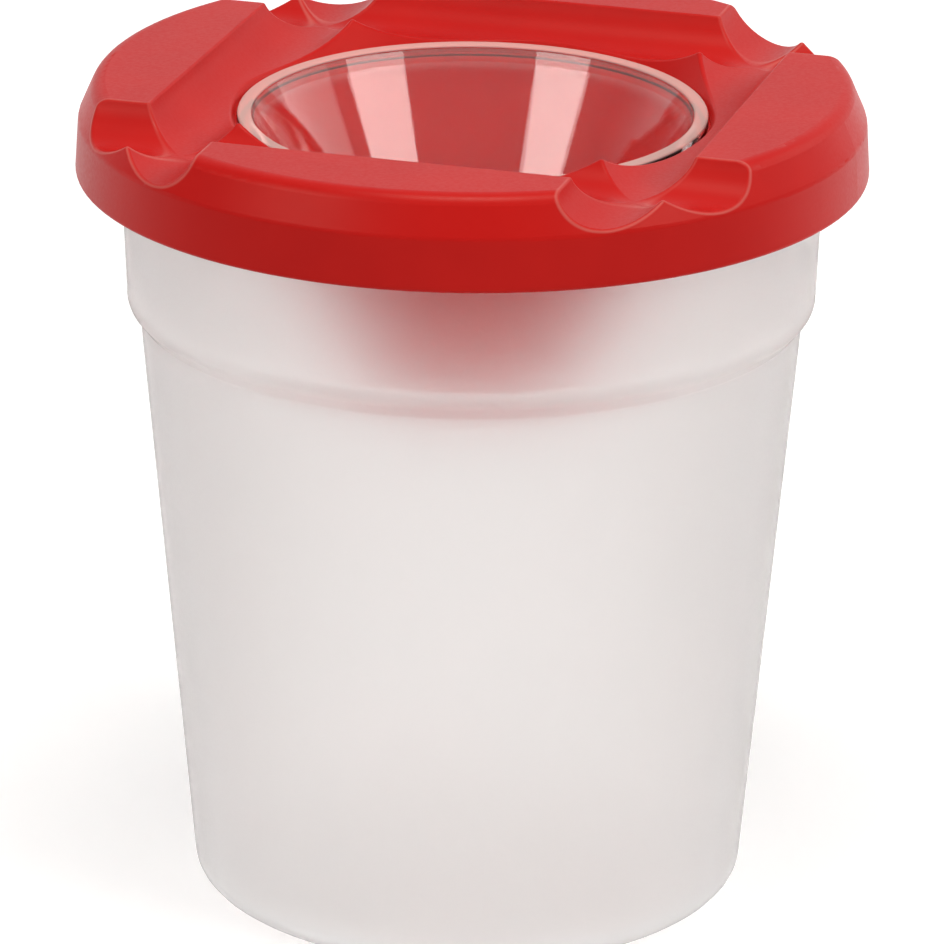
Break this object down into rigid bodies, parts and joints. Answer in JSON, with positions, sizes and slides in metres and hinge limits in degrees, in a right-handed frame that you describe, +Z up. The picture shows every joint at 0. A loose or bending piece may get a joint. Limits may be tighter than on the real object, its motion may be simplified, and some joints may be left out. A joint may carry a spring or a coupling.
{
  "type": "paint cup with lid",
  "caption": "Frosted tapered cup with a push-fit red lid that has a no-spill funnel and crossing round brush rests, closed by a clear conical stopper",
  "frame": {"origin": "centre of the foot ring, on the surface the cup stands on", "axes": "+Z up along the cup's axis; the brush rests run along X and Y"},
  "size_m": [0.0834, 0.0834, 0.0894],
  "materials": {
    "frosted_plastic": "natural frosted polypropylene, translucent, fine satin grain",
    "red_plastic": "soft satin red polyethylene, slightly waxy",
    "clear_plastic": "clear polished plastic"
  },
  "bodies": {
    "cup": {"cup": "frosted_plastic"},
    "lid": {"lid": "red_plastic"},
    "stopper": {"stopper": "clear_plastic"}
  },
  "joints": [
    {"name": "lid_lift", "type": "slide", "parent": "cup", "child": "lid", "axis": [0, 0, 1], "range_m": [0, 0.04]},
    {"name": "stopper_lift", "type": "slide", "parent": "lid", "child": "stopper", "axis": [0, 0, 1], "range_m": [0, 0.04]}
  ]
}
